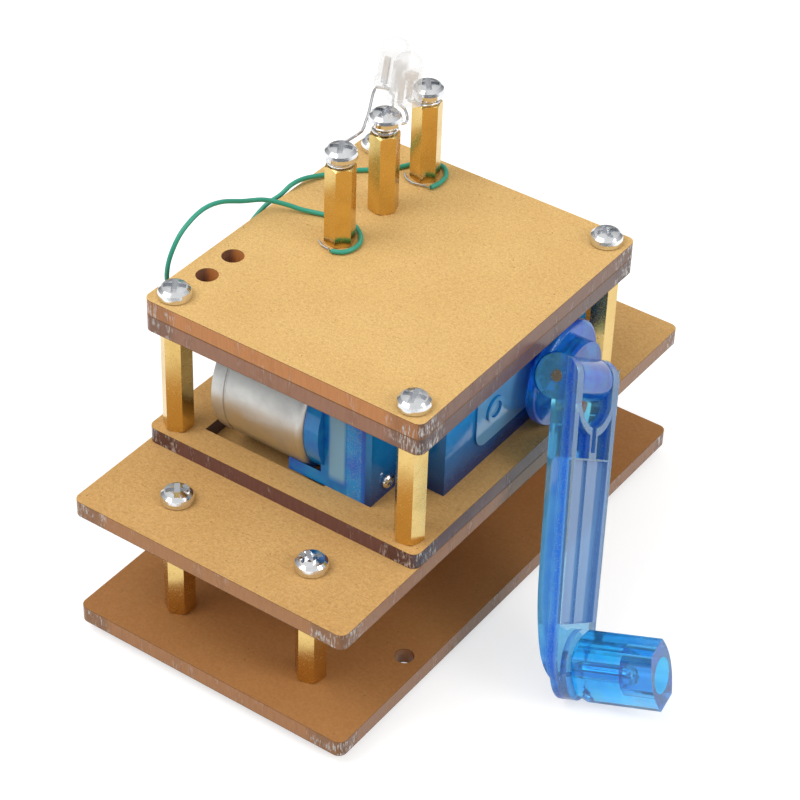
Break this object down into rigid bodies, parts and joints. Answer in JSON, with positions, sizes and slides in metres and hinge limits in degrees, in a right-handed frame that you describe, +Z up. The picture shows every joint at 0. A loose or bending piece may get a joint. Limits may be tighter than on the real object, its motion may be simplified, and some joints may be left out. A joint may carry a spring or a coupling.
{
  "type": "hand crank generator",
  "caption": "Small hand crank generator: stacked plates on hex standoffs, a folding crank driving a motor through a spur gearbox, terminal posts and two indicator lamps.",
  "frame": {"origin": "centre of the base plate's underside, which is the centre of its four free holes", "axes": "+X out of the crank's side along the crank's shaft, +Y along the long plates, +Z up"},
  "size_m": [0.0947, 0.1, 0.0854],
  "materials": {
    "acrylic": "clear sheet, glossy",
    "masking_film": "brown paper film, matt",
    "brass": "satin",
    "zinc_plate": "bright zinc",
    "motor_steel": "satin",
    "shaft_steel": "ground",
    "core_steel": "dull",
    "copper": "enamelled",
    "bearing_bronze": "sintered",
    "blue_plastic": "translucent, glossy",
    "white_plastic": "moulded nylon",
    "lamp_resin": "clear",
    "tinned_wire": "bright",
    "green_insulation": "satin"
  },
  "bodies": {
    "frame": {"base_plate": "acrylic", "middle_plate": "acrylic", "cradle_plate": "acrylic", "lower_top_plate": "acrylic", "upper_top_plate": "acrylic", "base_plate_films": "masking_film", "middle_plate_films": "masking_film", "cradle_plate_films": "masking_film", "lower_top_plate_films": "masking_film", "upper_top_plate_films": "masking_film", "short_standoffs": "brass", "tall_standoffs": "brass", "terminal_posts": "brass", "foot_screws": "zinc_plate", "middle_plate_screws": "zinc_plate", "deck_screws": "zinc_plate", "top_screws": "zinc_plate", "post_base_screws": "zinc_plate", "post_top_screws": "zinc_plate", "motor_can": "motor_steel", "motor_end_cap": "white_plastic", "motor_terminals": "brass", "motor_brushes": "bearing_bronze", "motor_magnets": "core_steel", "motor_bushes": "bearing_bronze", "motor_screws": "zinc_plate", "gearbox_rear_shell": "blue_plastic", "gearbox_front_cover": "blue_plastic", "gearbox_screws": "zinc_plate", "crank_bushes": "bearing_bronze", "first_idler_axle": "shaft_steel", "second_idler_axle": "shaft_steel", "front_lamp_lens": "lamp_resin", "front_lamp_leads": "tinned_wire", "rear_lamp_lens": "lamp_resin", "rear_lamp_leads": "tinned_wire", "near_wire": "green_insulation", "far_wire": "green_insulation", "wire_strands": "tinned_wire"},
    "crank": {"crank_gear": "white_plastic", "crank_shaft": "shaft_steel", "crank_hub": "blue_plastic"},
    "arm": {"crank_arm": "blue_plastic", "hinge_pin": "shaft_steel", "knob_axle": "zinc_plate"},
    "knob": {"crank_knob": "blue_plastic"},
    "first_idler": {"first_idler_gear": "white_plastic"},
    "second_idler": {"second_idler_gear": "white_plastic"},
    "rotor": {"motor_shaft": "shaft_steel", "rotor_core": "core_steel", "rotor_windings": "copper", "commutator": "copper", "motor_pinion": "white_plastic"}
  },
  "joints": [
    {"name": "crank_turn", "type": "hinge", "parent": "frame", "child": "crank", "pos_m": [0.02, 0.0116, 0.039], "axis": [1, 0, 0], "continuous": true},
    {"name": "first_idler_spin", "type": "hinge", "parent": "frame", "child": "first_idler", "pos_m": [0.016, 0.00235, 0.039], "axis": [1, 0, 0], "continuous": true},
    {"name": "second_idler_spin", "type": "hinge", "parent": "frame", "child": "second_idler", "pos_m": [0.012, -0.0069, 0.039], "axis": [1, 0, 0], "continuous": true},
    {"name": "rotor_spin", "type": "hinge", "parent": "frame", "child": "rotor", "pos_m": [-0.006, -0.01615, 0.039], "axis": [1, 0, 0], "continuous": true},
    {"name": "arm_fold", "type": "hinge", "parent": "crank", "child": "arm", "pos_m": [0.02915, 0.0116, 0.039], "axis": [0, -0.8192, 0.5736], "range_deg": [-18, 120]},
    {"name": "knob_spin", "type": "hinge", "parent": "arm", "child": "knob", "pos_m": [0.04349, -0.01371, 0.00285], "axis": [0.9511, 0.1772, 0.2531], "continuous": true}
  ],
  "couplings": [
    {"joint": "first_idler_spin", "follows": "crank_turn", "ratio": -2.7},
    {"joint": "second_idler_spin", "follows": "crank_turn", "ratio": 7.29},
    {"joint": "rotor_spin", "follows": "crank_turn", "ratio": -19.683}
  ]
}
